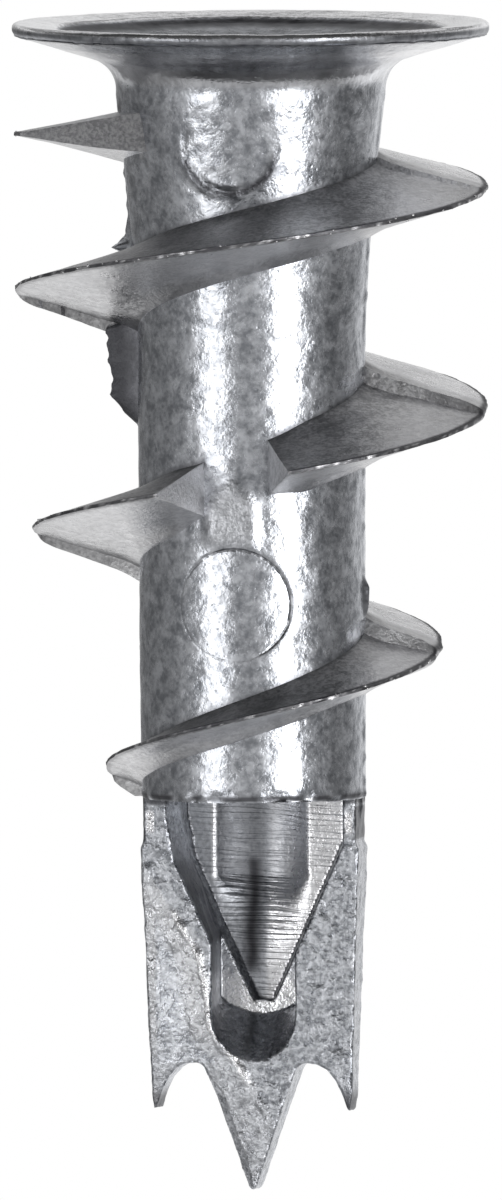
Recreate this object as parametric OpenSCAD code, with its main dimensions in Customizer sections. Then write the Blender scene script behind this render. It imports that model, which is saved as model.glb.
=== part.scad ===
// Self-drilling zinc drywall anchor, one die casting.
// It stands on its head: the head's flat face is at z = 0 and the drill tip points up.
// The die opens along Y, so the parting plane is the XZ plane. The pocket faces -Y.

/* [Overall] */
// Length from the head's face to the point of the centre spur
overall_l = 31.75; // [29:0.25:38]

/* [Head] */
// Diameter of the flange
head_d = 13; // [10:0.1:16]
// Thickness of the flange at its rim
rim_t = 0.3; // [0.24:0.02:0.6]
// Slope of the flange's underside, from flat
flange_slope = 17; // [5:1:25]
// Radius of the fillet between the flange and the neck
neck_fillet_r = 0.9; // [0.3:0.1:1.2]
// Diameter of the dish in the head's face
dish_d = 10.4; // [8:0.1:12]
// Depth of the dish
dish_depth = 0.7; // [0.3:0.05:0.9]

/* [Driver recess] */
// Width of each slot of the cross, at the dish
cross_w = 5.8; // [4.4:0.1:6.2]
// Width of each slot of the cross, at its bottom
cross_bottom_w = 3.8; // [3.5:0.1:4.4]
// Thickness of each slot of the cross
cross_t = 1.15; // [0.8:0.05:1.6]
// Depth of the cross from the head's face
cross_depth = 5; // [3:0.1:6.5]

/* [Bore] */
// Diameter of the screw bore
bore_d = 3.4; // [2.8:0.1:3.8]
// Depth of the bore's straight part
bore_depth = 23.3; // [22:0.1:24]
// Half angle of the bore's conical end
bore_tip_angle = 20; // [18:1:45]

/* [Body] */
// Diameter of the body at the neck, under the head
neck_d = 7.34; // [7:0.02:8]
// Diameter of the body where its fast taper ends
body_d = 6.18; // [5.8:0.02:6.8]
// Diameter of the body at the shoulder
shoulder_d = 6.08; // [5.6:0.02:6.16]
// Height where the fast taper starts
taper_start_z = 2; // [1.9:0.1:3]
// Height where the fast taper ends
taper_end_z = 8.8; // [7:0.1:11]
// Height of the shoulder where the body ends and the blade starts
shoulder_z = 21.1; // [20.4:0.1:21.6]

/* [Thread] */
// Outer diameter of the thread
thread_d = 12.84; // [10:0.02:14]
// Lead of the thread for each turn
thread_lead = 6.53; // [6.3:0.01:6.58]
// Lead at the end beside the head, from which it grows over the first turn
start_lead = 1.55; // [1:0.05:3]
// Height of the thread's end beside the head
thread_start_z = 2.95; // [2.7:0.01:3.3]
// Distance of the flat end face from the parting plane
end_face_y = 2.5; // [1.5:0.1:2.6]
// Number of turns
thread_turns = 3.19; // [2.9:0.01:3.2]
// Turns after which the crest starts to come down towards the tip
full_turns = 1.4; // [1:0.05:2]
// How far the crest's radius has come down one turn later
crest_drop = 1.03; // [0.7:0.01:1.1]
// Width of the crest
crest_w = 0.12; // [0.08:0.01:0.3]
// Rise of the flank on the head's side for each millimetre of depth
head_flank = 0.22; // [0.12:0.01:0.3]
// Rise of the flank on the tip's side for each millimetre of depth
tip_flank = 0.32; // [0.12:0.01:0.34]
// Draft of the thread's filled undercuts for each millimetre
undercut_draft = 0.03; // [0:0.01:0.08]

/* [Gate] */
// Angle about the axis of the middle of the gap that the gate leaves in the thread
gate_angle = 268; // [262:1:274]
// Angle of the gap
gate_gap = 34; // [20:1:40]
// Height of the gate's scar, at its lower edge on the head's side
gate_z = 12.1; // [11.6:0.1:12.6]
// Width of the gate's scar
gate_w = 1.7; // [1:0.1:2.4]
// Length of the gate's scar along the axis
gate_l = 2.2; // [1.6:0.1:2.6]
// How far the flat of the gate's scar stands out of the body
gate_proud = 0.12; // [0.06:0.02:0.4]

/* [Ejector marks] */
// Diameter of the mark on the neck
upper_mark_d = 2.6; // [1.5:0.1:3]
// Height of the mark on the neck
upper_mark_z = 3.2; // [3:0.05:3.8]
// Diameter of the mark on the body
lower_mark_d = 3; // [2:0.1:3.4]
// Height of the mark on the body
lower_mark_z = 15.65; // [15.5:0.05:17]
// Depth of the marks
mark_depth = 0.05; // [0.02:0.01:0.15]

/* [Flash] */
// Radius that the flash on the parting line reaches
flash_r = 3.97; // [3.6:0.01:4.4]
// Thickness of the flash
flash_t = 0.35; // [0.2:0.05:0.6]
// Height where the flash ends
flash_end_z = 10.95; // [10:0.05:12]

/* [Blade] */
// Thickness of the blade
blade_t = 1.46; // [1.2:0.02:1.8]
// Width of the blade at the shoulder
blade_w = 6.02; // [5.9:0.02:6.6]
// Width of the blade at its spurs
blade_tip_w = 5.58; // [5.2:0.02:5.78]
// Height of the side spurs' points
spur_z = 29.6; // [29.2:0.05:30.2]
// Height of the tops of the notches between the spurs
notch_z = 28.3; // [28:0.05:28.6]
// Width of the centre spur at its root
centre_spur_w = 2.46; // [2.2:0.02:2.9]
// Width of each side spur's blunt point
spur_point_w = 0.12; // [0.08:0.02:0.3]
// Radius of the centre spur's point
point_r = 0.14; // [0.1:0.02:0.3]
// Angle of the relief facet on each half of the blade, which leaves a ridge across it
relief_angle = 8; // [0:0.5:12]
// Height where the relief facet's ridge starts, at the blade's edge
relief_z = 22.4; // [22.2:0.1:24]

/* [Pocket] */
// Width of the pocket at its mouth, beside the shoulder
pocket_w = 4.88; // [4.4:0.02:5]
// Width of the channel at its mouth, between the pocket and the point
channel_w = 2.3; // [1.8:0.02:2.6]
// Height where the pocket starts to narrow
pocket_narrow_z = 22.35; // [21.9:0.05:22.5]
// Height where the pocket has narrowed to the channel
channel_z = 25.2; // [25:0.05:25.4]
// Height of the blunt tip of the pocket's floor
pocket_tip_z = 26.62; // [26.4:0.02:26.7]
// Height where the channel ends, at its mouth
channel_end_z = 28.22; // [27.7:0.02:28.4]
// Distance of the pocket's ledge behind the axis
ledge_y = 0.7; // [0.5:0.02:0.8]
// Distance of the pocket's floor behind the axis
floor_y = 1.1; // [1:0.02:1.2]
// Draft of the walls from the mouth to the ledge, as an angle
ledge_draft = 10; // [5:1:12]
// Draft of the walls from the ledge to the floor, as an angle
floor_draft = 24; // [10:1:30]
// Slope of the channel's end wall, as an angle
channel_end_slope = 40; // [25:1:42]

/* [Back] */
// Wall between the pocket's floor and the outside of the boss on the blade's back
boss_wall = 0.4; // [0.3:0.02:0.5]
// Height where the boss runs out into the blade
boss_end_z = 28.2; // [27.8:0.1:28.6]

/* [Hidden] */
$fn = 96;
over = 0.2;
zinc = [0.66, 0.67, 0.69];

head_r = head_d / 2;
neck_r = neck_d / 2;
bore_r = bore_d / 2;
shoulder_r = shoulder_d / 2;
crest_r = thread_d / 2;

// Radius of the body at a height
function body_r(z) =
    z < taper_start_z ? neck_r :
    z < taper_end_z ? neck_r + (body_d / 2 - neck_r) * (1 - pow(1 - taper_part(z), 1.6)) :
    body_d / 2 + (shoulder_r - body_d / 2) * (z - taper_end_z) / (shoulder_z - taper_end_z);
function taper_part(z) = (z - taper_start_z) / (taper_end_z - taper_start_z);

// The flange's underside is a cone that ends in a fillet against the neck
fillet_centre_r = neck_r + neck_fillet_r;
fillet_end_r = fillet_centre_r - neck_fillet_r * sin(flange_slope);
fillet_low_z = rim_t + (head_r - fillet_end_r) * tan(flange_slope);
fillet_centre_z = fillet_low_z + neck_fillet_r * cos(flange_slope);
fillet_steps = 5;
taper_steps = 6;

function fillet_point(a) =
    [fillet_centre_r - neck_fillet_r * cos(a), fillet_centre_z - neck_fillet_r * sin(a)];
function taper_z(i) = taper_start_z + (taper_end_z - taper_start_z) * i / taper_steps;

module body_blank() {
    rotate_extrude()
        polygon(concat(
            [[0, 0], [head_r - rim_t / 3, 0], [head_r, rim_t / 3], [head_r, rim_t]],
            [for (i = [0:fillet_steps]) fillet_point((90 - flange_slope) * (1 - i / fillet_steps))],
            [for (i = [0:taper_steps]) [body_r(taper_z(i)), taper_z(i)]],
            [[shoulder_r, shoulder_z], [0, shoulder_z]]));
}

// Thread. The angle is counted from the flat end face beside the head, and grows with height.
first_angle = -asin(end_face_y / crest_r);
last_angle = first_angle + 360 * thread_turns;
thread_root_r = (bore_r + shoulder_r) / 2 + 0.2;
run_out_turns = 0.12;

function turns_at(a) = (a - first_angle) / 360;
function centre_z(t) =
    t < 0 ? thread_start_z + start_lead * t :
    t < 1 ? thread_start_z + start_lead * t + (thread_lead - start_lead) * t * t / 2 :
    thread_start_z + (start_lead + thread_lead) / 2 + thread_lead * (t - 1);
function tapered_crest_r(t) = crest_r - crest_drop * pow(max(0, t - full_turns), 1.75);
function crest_at(t) =
    let (left = (thread_turns - t) / run_out_turns)
    left > 1 ? tapered_crest_r(t) :
    shoulder_r - 0.1 + (tapered_crest_r(t) - shoulder_r + 0.1) * max(0, left);
function flank(t, r, rise) = crest_w / 2 + rise * max(0, crest_at(t) - r);

// What a die half can't draw is filled: each side of the thread is carried along Y to the parting
// plane, so a point's height is the furthest one found outwards along its own line.
fill_steps = 8;
function quarter(a) = floor(a / 90);
function off_plane(a) = let (m = a - 180 * floor(a / 180)) min(m, 180 - m);
function reach(a, r) = acos(min(1, r * cos(off_plane(a)) / crest_at(turns_at(a))));
function fill_angles(a, r) =
    let (from = off_plane(a), to = max(from, reach(a, r)))
    [for (i = [0:fill_steps]) from + (to - from) * i / fill_steps];
function filled_side(a, r, rise, side) =
    let (own = side * centre_z(turns_at(a)) + flank(turns_at(a), r, rise),
         grows = (quarter(a) % 2 == 0 ? 1 : -1) * side > 0)
    r > crest_at(turns_at(a)) - 0.001 || !grows ? side * own :
    side * max([for (b = fill_angles(a, r))
        let (step = side * (b - off_plane(a)),
             t = turns_at(a + step),
             far_r = max(r, r * cos(off_plane(a)) / max(0.001, cos(b))),
             run = abs(far_r * sin(b) - r * sin(off_plane(a))))
        side * centre_z(t) + flank(t, far_r, rise) - undercut_draft * run]);

radial_steps = 5;
function ring_r(t, i) =
    let (k = i / radial_steps) thread_root_r + (crest_at(t) - thread_root_r) * (1 - pow(1 - k, 1.7));
function cap(z) = min(z, shoulder_z - 0.02);
function ring_point(a, r, rise, side) = [r * cos(a), r * sin(a), cap(filled_side(a, r, rise, side))];
// The ring of points round the thread's section at one angle
function section_ring(a) =
    let (t = turns_at(a))
    concat(
        [for (i = [0:radial_steps]) ring_point(a, ring_r(t, i), head_flank, -1)],
        [for (i = [radial_steps:-1:0]) ring_point(a, ring_r(t, i), tip_flank, 1)]);
// The first ring lies in the end face's plane, which is parallel to the parting plane
function end_point(r, rise, side) =
    let (a = -asin(end_face_y / r), t = turns_at(a))
    [r * cos(a), -end_face_y, centre_z(t) + side * (crest_w / 2 + rise * (crest_r - r))];
// The thread is thinner at its end face
end_thin = 0.75;
end_root_r = max(thread_root_r, end_face_y + 0.1);
function end_r(i) = end_root_r + (crest_r - end_root_r) * (1 - pow(1 - i / radial_steps, 1.7));
function end_ring() = concat(
    [for (i = [0:radial_steps]) end_point(end_r(i), end_thin * head_flank, -1)],
    [for (i = [radial_steps:-1:0]) end_point(end_r(i), end_thin * tip_flank, 1)]);

ring_size = 2 * (radial_steps + 1);
function skin_faces(rings) = [
    for (k = [0:rings - 2], i = [0:ring_size - 1], half = [0, 1])
        let (j = (i + 1) % ring_size, a = k * ring_size, b = a + ring_size)
        half == 0 ? [a + i, b + j, b + i] : [a + i, a + j, b + j]];
function cap_faces(rings) = [
    for (i = [0:radial_steps - 1], end = [0, 1], half = [0, 1])
        let (a = end * (rings - 1) * ring_size, p = a + i, q = a + i + 1,
             s = a + ring_size - 1 - i, r = s - 1,
             tri = half == 0 ? [p, q, r] : [p, r, s])
        end == 1 ? tri : [tri[2], tri[1], tri[0]]];

// Angles of the rings: even steps, with a pair of rings close to each crossing of the parting plane
ring_step = 7.5;
plane_gap = 0.5;
function ring_angles(from, to) =
    let (even = [for (a = [ceil(from / ring_step) * ring_step:ring_step:to]) if (off_plane(a) > 1) a],
         pairs = [for (m = [ceil(from / 180):floor(to / 180)], s = [-1, 1]) m * 180 + s * plane_gap])
    sorted(concat([from], [for (a = concat(even, pairs)) if (a > from + 1 && a < to - 1) a], [to]));
function sorted(v) = len(v) < 2 ? v :
    let (mid = v[floor(len(v) / 2)])
    concat(sorted([for (x = v) if (x < mid) x]), [mid], sorted([for (x = v) if (x > mid) x]));

module thread_run(from, to, flat_end = false) {
    angles = ring_angles(from, to);
    later = [for (i = [flat_end ? 1 : 0:len(angles) - 1]) each section_ring(angles[i])];
    points = flat_end ? concat(end_ring(), later) : later;
    rings = len(points) / ring_size;
    polyhedron(points, concat(skin_faces(rings), cap_faces(rings)), convexity = 10);
}

gap_turn = 360;
gap_start = gap_turn + gate_angle - gate_gap / 2;
gap_end = gap_turn + gate_angle + gate_gap / 2;

module thread() {
    thread_run(first_angle, gap_start, flat_end = true);
    thread_run(gap_end, last_angle);
}

// The gate's scar: a flat with a pointed end towards the head
scar_roof = 0.75;
scar_clear = 0.3;
module gate_scar() {
    translate([0, -body_d / 2 - gate_proud, gate_z + gate_l])
        rotate([-90, 0, 0])
            linear_extrude(body_d / 2 - bore_r - scar_clear)
                polygon([
                    [-gate_w / 2, 0], [gate_w / 2, 0], [gate_w / 2, gate_l - scar_roof],
                    [0, gate_l], [-gate_w / 2, gate_l - scar_roof]]);
}

// Flash on the parting line, on the +X side, from the thread's flank to its own end
flash_start_z = 8.2;
flash_root_r = shoulder_r - 0.3;
flash_corner = 0.12;
flash_straight = 0.6;
module flash() {
    flash_l = flash_end_z - flash_start_z;
    translate([0, flash_t / 2, 0])
        rotate([90, 0, 0])
            linear_extrude(flash_t)
                polygon([
                    [flash_root_r, flash_start_z],
                    [flash_r, flash_start_z],
                    [flash_r, flash_start_z + flash_straight * flash_l],
                    [flash_r - flash_corner, flash_start_z + (flash_straight + flash_corner) * flash_l],
                    [flash_root_r, flash_end_z]]);
}

module ejector_mark(d, z) {
    intersection() {
        translate([0, 0, z])
            rotate([90, 0, 0])
                cylinder(d = d, h = neck_r + 1);
        rotate_extrude()
            polygon([
                [body_r(z - d) - mark_depth, z - d], [neck_r + 1, z - d],
                [neck_r + 1, z + d], [body_r(z + d) - mark_depth, z + d]]);
    }
}

// Blade. Half of its outline runs from the shoulder down the edge, round the side spur and notch,
// and along the centre spur to its point.
spur_point_x = blade_tip_w / 2 - spur_point_w;
notch_corner_r = 0.3;
notch_x = centre_spur_w / 2 + notch_corner_r;
notch_steps = 6;
// How late the notch's outer side turns down to the side spur's point
spur_curve = 3;
step_h = 1.2;
step_in = 0.1;
step_slope_h = 0.15;
spur_corner_h = 0.4;
spur_tip_h = 0.05;
point_slope = atan((centre_spur_w / 2 - point_r) / (overall_l - point_r - notch_z));
function spur_side(k) =
    [notch_x + (spur_point_x - notch_x) * k, notch_z + (spur_z - spur_tip_h - notch_z) * pow(k, spur_curve)];
function notch_corner(a) =
    [notch_x - notch_corner_r * sin(a), notch_z + notch_corner_r * (1 - cos(a))];
half_outline = concat(
    [[shoulder_r - step_in, shoulder_z - step_h],
     [shoulder_r - step_in, shoulder_z + step_h],
     [blade_w / 2, shoulder_z + step_h + step_slope_h],
     [blade_tip_w / 2, spur_z - spur_corner_h],
     [blade_tip_w / 2 - spur_point_w / 2, spur_z]],
    [for (i = [notch_steps:-1:1]) spur_side(i / notch_steps)],
    [for (i = [0:3]) notch_corner((90 - point_slope) * i / 3)],
    [for (i = [0:3])
        let (a = point_slope + (90 - point_slope) * i / 3)
        [point_r * cos(a), overall_l - point_r + point_r * sin(a)]]);

module blade_blank() {
    translate([0, blade_t / 2, 0])
        rotate([90, 0, 0])
            linear_extrude(blade_t)
                polygon(concat(
                    half_outline,
                    [for (i = [len(half_outline) - 2:-1:0]) [-half_outline[i][0], half_outline[i][1]]]));
}

// The relief's ridge runs from the blade's edge to the axis, a little way up the centre spur
ridge_up = 0.95;
ridge_axis_z = notch_z + ridge_up;
ridge_slope = atan(blade_w / 2 / (ridge_axis_z - relief_z));
module relief() {
    translate([blade_w / 2, -blade_t / 2, relief_z])
        rotate([0, -ridge_slope, 0])
            rotate([0, 0, relief_angle])
                translate([0, -blade_t, -blade_w])
                    cube([2 * blade_w, blade_t, 3 * blade_w]);
}

module blade() {
    difference() {
        blade_blank();
        for (a = [0, 180])
            rotate([0, 0, a])
                relief();
    }
}

// Pocket. Its outlines are V shapes in planes parallel to the blade: one at the mouth, one at the
// ledge and one at the floor, each drawn in by the draft of the wall above it.
face_y = -blade_t / 2;
narrow_slope = (pocket_w - channel_w) / 2 / (channel_z - pocket_narrow_z);
ledge_inset = (ledge_y - face_y) * tan(ledge_draft);
floor_inset = ledge_inset + (floor_y - ledge_y) * tan(floor_draft);
function v_outline(inset) =
    let (half = pocket_w / 2 - inset,
         tip_half = max(0.05, half - narrow_slope * (pocket_tip_z - pocket_narrow_z)))
    [[-half, shoulder_z], [half, shoulder_z], [half, pocket_narrow_z],
     [tip_half, pocket_tip_z], [-tip_half, pocket_tip_z], [-half, pocket_narrow_z]];

channel_draft = 5;
channel_start_z = channel_z - 1;
channel_arc_steps = 12;
function channel_outline(deep) =
    let (half = channel_w / 2 - deep * tan(channel_draft),
         end = channel_end_z - deep * tan(channel_end_slope))
    concat(
        [[-half, channel_start_z], [half, channel_start_z]],
        [for (i = [0:channel_arc_steps])
            let (a = 180 * i / channel_arc_steps)
            [half * cos(a), end - half + half * sin(a)]]);

slab_t = 0.01;
module slab(y, points) {
    translate([0, y, 0])
        rotate([90, 0, 0])
            linear_extrude(slab_t)
                polygon(points);
}

mouth_over = 0.2;
module pocket() {
    hull() {
        slab(face_y - mouth_over, v_outline(-mouth_over * tan(ledge_draft)));
        slab(ledge_y, v_outline(ledge_inset));
    }
    hull() {
        slab(ledge_y, v_outline(ledge_inset));
        slab(floor_y, v_outline(floor_inset));
    }
    hull() {
        slab(face_y - mouth_over, channel_outline(-mouth_over));
        slab(ledge_y, channel_outline(ledge_y - face_y));
    }
}

// Boss on the blade's back, which closes the pocket and the bore behind
boss_r = shoulder_r - 0.06;
boss_straight_h = 0.3;
boss_mid_r = norm([pocket_w / 2 - floor_inset, floor_y]) + 0.7 * boss_wall;
boss_mid_z = pocket_narrow_z + 0.2;
boss_low_r = floor_y + boss_wall;
boss_end_r = 0.6 * boss_low_r;
module boss() {
    intersection() {
        rotate_extrude()
            polygon([
                [0, shoulder_z - 1], [boss_r, shoulder_z - 1], [boss_r, shoulder_z + boss_straight_h],
                [boss_mid_r, boss_mid_z], [boss_low_r, pocket_tip_z],
                [boss_end_r, boss_end_z], [0, boss_end_z]]);
        translate([-head_r, 0, 0])
            cube([head_d, head_r, overall_l]);
    }
}

// The bore's cone ends in a small flat
cone_flat = 0.12;
module bore() {
    cone_end_z = bore_depth + (1 - cone_flat) * bore_r / tan(bore_tip_angle);
    rotate_extrude()
        polygon([
            [0, -over], [bore_r, -over], [bore_r, bore_depth],
            [cone_flat * bore_r, cone_end_z], [0, cone_end_z]]);
}

dish_floor_clear = 0.1;
module dish() {
    floor_r = cross_w / 2 + dish_floor_clear;
    rotate_extrude()
        polygon([
            [0, -over], [dish_d / 2, -over], [dish_d / 2, 0],
            [floor_r, dish_depth], [0, dish_depth]]);
}

module driver_cross() {
    for (a = [0, 90])
        rotate([0, 0, a])
            rotate([90, 0, 0])
                translate([0, 0, -cross_t / 2])
                    linear_extrude(cross_t)
                        polygon([
                            [-cross_w / 2, 0], [cross_w / 2, 0],
                            [cross_bottom_w / 2, cross_depth], [-cross_bottom_w / 2, cross_depth]]);
}

module anchor() {
    color(zinc)
        difference() {
            union() {
                body_blank();
                blade();
                boss();
                thread();
                gate_scar();
                flash();
            }
            bore();
            dish();
            driver_cross();
            pocket();
            ejector_mark(upper_mark_d, upper_mark_z);
            ejector_mark(lower_mark_d, lower_mark_z);
        }
}

anchor();
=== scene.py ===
import bpy, math
import numpy as np
from mathutils import Matrix, Vector
from types import SimpleNamespace


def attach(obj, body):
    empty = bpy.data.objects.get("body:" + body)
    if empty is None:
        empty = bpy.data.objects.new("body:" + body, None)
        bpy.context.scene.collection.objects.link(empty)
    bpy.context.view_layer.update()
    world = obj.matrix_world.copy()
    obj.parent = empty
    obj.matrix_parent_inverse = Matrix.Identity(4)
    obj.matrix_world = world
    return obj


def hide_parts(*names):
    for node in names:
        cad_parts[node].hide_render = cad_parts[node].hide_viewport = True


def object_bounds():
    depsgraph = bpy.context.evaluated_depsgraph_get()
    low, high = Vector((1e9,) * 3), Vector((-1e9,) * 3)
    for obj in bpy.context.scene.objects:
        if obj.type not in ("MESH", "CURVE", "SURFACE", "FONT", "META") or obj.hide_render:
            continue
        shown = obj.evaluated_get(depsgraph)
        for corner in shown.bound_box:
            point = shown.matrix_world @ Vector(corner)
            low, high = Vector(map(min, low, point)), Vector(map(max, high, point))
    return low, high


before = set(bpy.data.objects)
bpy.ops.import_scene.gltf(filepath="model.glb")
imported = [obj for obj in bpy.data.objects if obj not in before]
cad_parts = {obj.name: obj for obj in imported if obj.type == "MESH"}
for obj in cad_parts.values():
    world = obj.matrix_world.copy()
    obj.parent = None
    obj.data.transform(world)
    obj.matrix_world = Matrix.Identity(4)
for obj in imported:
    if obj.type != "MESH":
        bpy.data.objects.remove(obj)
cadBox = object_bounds()
scene = bpy.context.scene
scene.view_settings.view_transform = "Standard"
mm = 0.001            # shapes are worked out in millimetres and scaled as they become meshes
fullTurn = 2 * math.pi
drillPoint = cadBox[1].z / mm

# sizes in millimetres, degrees and turns that more than one piece shares
anchor = {
    "headR": (cadBox[1].x - cadBox[0].x) / mm / 2, "neckR": 3.67, "midR": 3.09, "shoulderR": 3.04,
    "taperFrom": 2.0, "taperTo": 8.8, "taperPower": 1.6, "shoulder": 21.1, "boreR": 1.7, "boreTo": 23.3,
    "crestR": 6.42, "lead": 6.53, "startLead": 1.55, "threadFrom": 2.95, "endFace": 2.5, "turns": 3.19,
    "fullTurns": 1.4, "crestDrop": 1.03, "dropPower": 1.75, "crestW": 0.08, "headFlank": 0.23, "tipFlank": 0.29,
    "gateAt": 268.0, "gateGap": 34.0,
}
shoulder = anchor["shoulder"]
firstAngle = -math.asin(anchor["endFace"] / anchor["crestR"])          # of the thread's end beside the head
gapFrom = 1 + (math.radians(anchor["gateAt"] - anchor["gateGap"] / 2) - firstAngle) / fullTurn      # in turns
gapTo = gapFrom + anchor["gateGap"] / 360


# shaping tools

def lumps(p, cell, seed):
    # smooth random lumps from -1 to 1, on a lattice of this cell
    q = np.asarray(p, dtype=np.float64) / cell + 517.3
    i = np.floor(q).astype(np.int64)
    f = q - i
    f = f * f * (3 - 2 * f)
    total = np.zeros(len(q))
    for d in ((dx, dy, dz) for dx in (0, 1) for dy in (0, 1) for dz in (0, 1)):
        n = ((i[:, 0] + d[0]) * 73856093) ^ ((i[:, 1] + d[1]) * 19349663) ^ ((i[:, 2] + d[2]) * 83492791)
        n = n ^ (seed * 6542989)
        n = (n ^ (n >> 13)) * 1274126177 & 0x7fffffff
        n = (n ^ (n >> 15)) & 0xffff
        share = np.prod([f[:, k] if d[k] else 1 - f[:, k] for k in range(3)], axis=0)
        total += share * (n / 32767.5 - 1)
    return total


def skinLumps(p, layers):
    # layers are (height, cell, seed)
    return sum(height * lumps(p, cell, seed) for height, cell, seed in layers)


def ramp(x, low, high):
    k = np.clip((x - low) / (high - low), 0, 1)
    return k * k * (3 - 2 * k)


def fall(x, low, high):
    return 1 - ramp(x, low, high)


def band(x, low, lowFull, highFull, high):
    return ramp(x, low, lowFull) * fall(x, highFull, high)


def bell(x, width, power=2):
    return np.exp(-(x / width) ** power)


def profile(x, pairs):
    return np.interp(x, [at for at, _ in pairs], [value for _, value in pairs])


def bodyRadius(z):
    k = np.clip((z - anchor["taperFrom"]) / (anchor["taperTo"] - anchor["taperFrom"]), 0, 1)
    fast = anchor["neckR"] + (anchor["midR"] - anchor["neckR"]) * (1 - (1 - k) ** anchor["taperPower"])
    slow = np.clip((z - anchor["taperTo"]) / (shoulder - anchor["taperTo"]), 0, 1)
    return fast + (anchor["shoulderR"] - anchor["midR"]) * slow


def helixHeight(turn):
    lead, startLead = anchor["lead"], anchor["startLead"]
    return anchor["threadFrom"] + startLead * turn + (lead - startLead) * (
        np.minimum(turn, 1) ** 2 / 2 + np.maximum(turn - 1, 0))


def crestRadius(turn):
    return anchor["crestR"] - anchor["crestDrop"] * np.maximum(turn - anchor["fullTurns"], 0) ** anchor["dropPower"]


# mesh tools

def makePiece(name, points, faces, material, smooth=True):
    mesh = bpy.data.meshes.new(name)
    mesh.from_pydata([tuple(p) for p in np.asarray(points) * mm], [], [tuple(f) for f in faces])
    mesh.validate()
    if smooth:
        mesh.shade_smooth()
        mesh.set_sharp_from_angle(angle=math.radians(50))
    mesh.materials.append(material)
    piece = bpy.data.objects.new(name, mesh)
    scene.collection.objects.link(piece)
    return piece


def applyModifiers(piece):
    made = bpy.data.meshes.new_from_object(piece.evaluated_get(bpy.context.evaluated_depsgraph_get()))
    piece.modifiers.clear()
    piece.data = made


def settle(piece):
    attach(piece, "root")
    print("made", piece.name, len(piece.data.polygons), "faces")


def readMesh(items, field, width=1):
    flat = np.empty(len(items) * width, dtype=np.float32)
    items.foreach_get(field, flat)
    flat = flat.astype(float)
    return flat.reshape(-1, width) if width > 1 else flat


def placePoints(mesh, points):
    mesh.vertices.foreach_set("co", (np.asarray(points) * mm).ravel())
    mesh.update()


def mask(mesh, name, values):
    layer = mesh.attributes.new(name, "FLOAT", "POINT")
    layer.data.foreach_set("value", np.asarray(values, dtype=np.float32))


# node tools: a Wire is a number travelling through a tree, so that a formula reads as one

class Wire:
    def __init__(self, tree, socket):
        self.tree, self.socket = tree, socket

    def feed(self, target):
        self.tree.links.new(self.socket, target)

    def math(self, kind, *others):
        node = self.tree.nodes.new("ShaderNodeMath")
        node.operation = kind
        for target, value in zip(node.inputs, (self,) + others):
            setSocket(target, value)
        return Wire(self.tree, node.outputs[0])

    def __add__(self, o): return self.math("ADD", o)
    def __sub__(self, o): return self.math("SUBTRACT", o)
    def __mul__(self, o): return self.math("MULTIPLY", o)
    def __truediv__(self, o): return self.math("DIVIDE", o)
    def __pow__(self, o): return self.math("POWER", o)
    def least(self, o): return self.math("MINIMUM", o)
    def most(self, o): return self.math("MAXIMUM", o)
    def above(self, o): return self.math("GREATER_THAN", o)
    def clamp(self): return self.most(0.0).least(1.0)


def setSocket(socket, value):
    if isinstance(value, Wire):
        value.feed(socket)
    else:
        socket.default_value = value


def newNodes(tree, family, *kinds):
    return [tree.nodes.new(family + kind) for kind in kinds]


def splitPlace(tree, source):
    node = tree.nodes.new("ShaderNodeSeparateXYZ")
    tree.links.new(source, node.inputs[0])
    return [Wire(tree, node.outputs[i]) for i in range(3)]


def joinPlace(tree, values):
    node = tree.nodes.new("ShaderNodeCombineXYZ")
    for target, value in zip(node.inputs, values):
        setSocket(target, value)
    return node.outputs[0]


# finishes

def newGroup(name, inputs, outputs):
    g = bpy.data.node_groups.new(name, "ShaderNodeTree")
    for label, value in inputs.items():
        g.interface.new_socket(label, in_out="INPUT", socket_type="NodeSocketFloat").default_value = value
    for label in outputs:
        g.interface.new_socket(label, in_out="OUTPUT", socket_type="NodeSocketFloat")
    given, out = g.nodes.new("NodeGroupInput"), g.nodes.new("NodeGroupOutput")
    place = g.nodes.new("ShaderNodeTexCoord").outputs["Object"]
    return g, [Wire(g, given.outputs[label]) for label in inputs], out.inputs, place


def noise(tree, vector, scale, detail, roughness, distortion=0.0):
    tex = tree.nodes.new("ShaderNodeTexNoise")
    tree.links.new(vector, tex.inputs["Vector"])
    for label, value in (("Scale", scale), ("Detail", detail), ("Roughness", roughness), ("Distortion", distortion)):
        setSocket(tex.inputs[label], value)
    return Wire(tree, tex.outputs["Fac"])


def castGrainGroup():
    # the skin of a zinc die casting: dents and pits for the bump, patches for tone and gloss
    g, given, out, place = newGroup(
        "castGrain", {"Grain Size": 0.12, "Patch Size": 0.5, "Pits": 0.5, "Rough Skin": 0.0, "Gloss": 0.3},
        ("Height", "Tone", "Roughness"))
    size, patch, pits, rough, gloss = given
    perMetre = size ** -1.0 * 1000.0
    fine = noise(g, place, perMetre, 3, 0.6, 0.1)
    dents = noise(g, place, perMetre * 0.4, 3, 0.55, 0.15)
    broad = noise(g, place, patch ** -1.0 * 1000.0, 4, 0.6, 0.4)
    cells = g.nodes.new("ShaderNodeTexVoronoi")
    g.links.new(place, cells.inputs["Vector"])
    (perMetre * 0.55).feed(cells.inputs["Scale"])
    pit = (Wire(g, cells.outputs["Distance"]) * -4.5 + 1.0).most(0.0) * pits
    (dents * 0.8 + fine * (rough * 0.6 + 0.25) - pit * 0.35).feed(out["Height"])
    tone = (broad - 0.5) * 1.6 + (dents - 0.5) * 1.7 + (fine - 0.5) * (rough * 1.2 + 0.9) - pit * 0.4 + 0.5
    tone.clamp().feed(out["Tone"])
    sheen = gloss + rough * 0.12 + (broad - 0.5) * 0.4 + (fine - 0.5) * 0.15
    sheen.most(0.14).least(0.8).feed(out["Roughness"])
    return g


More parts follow.
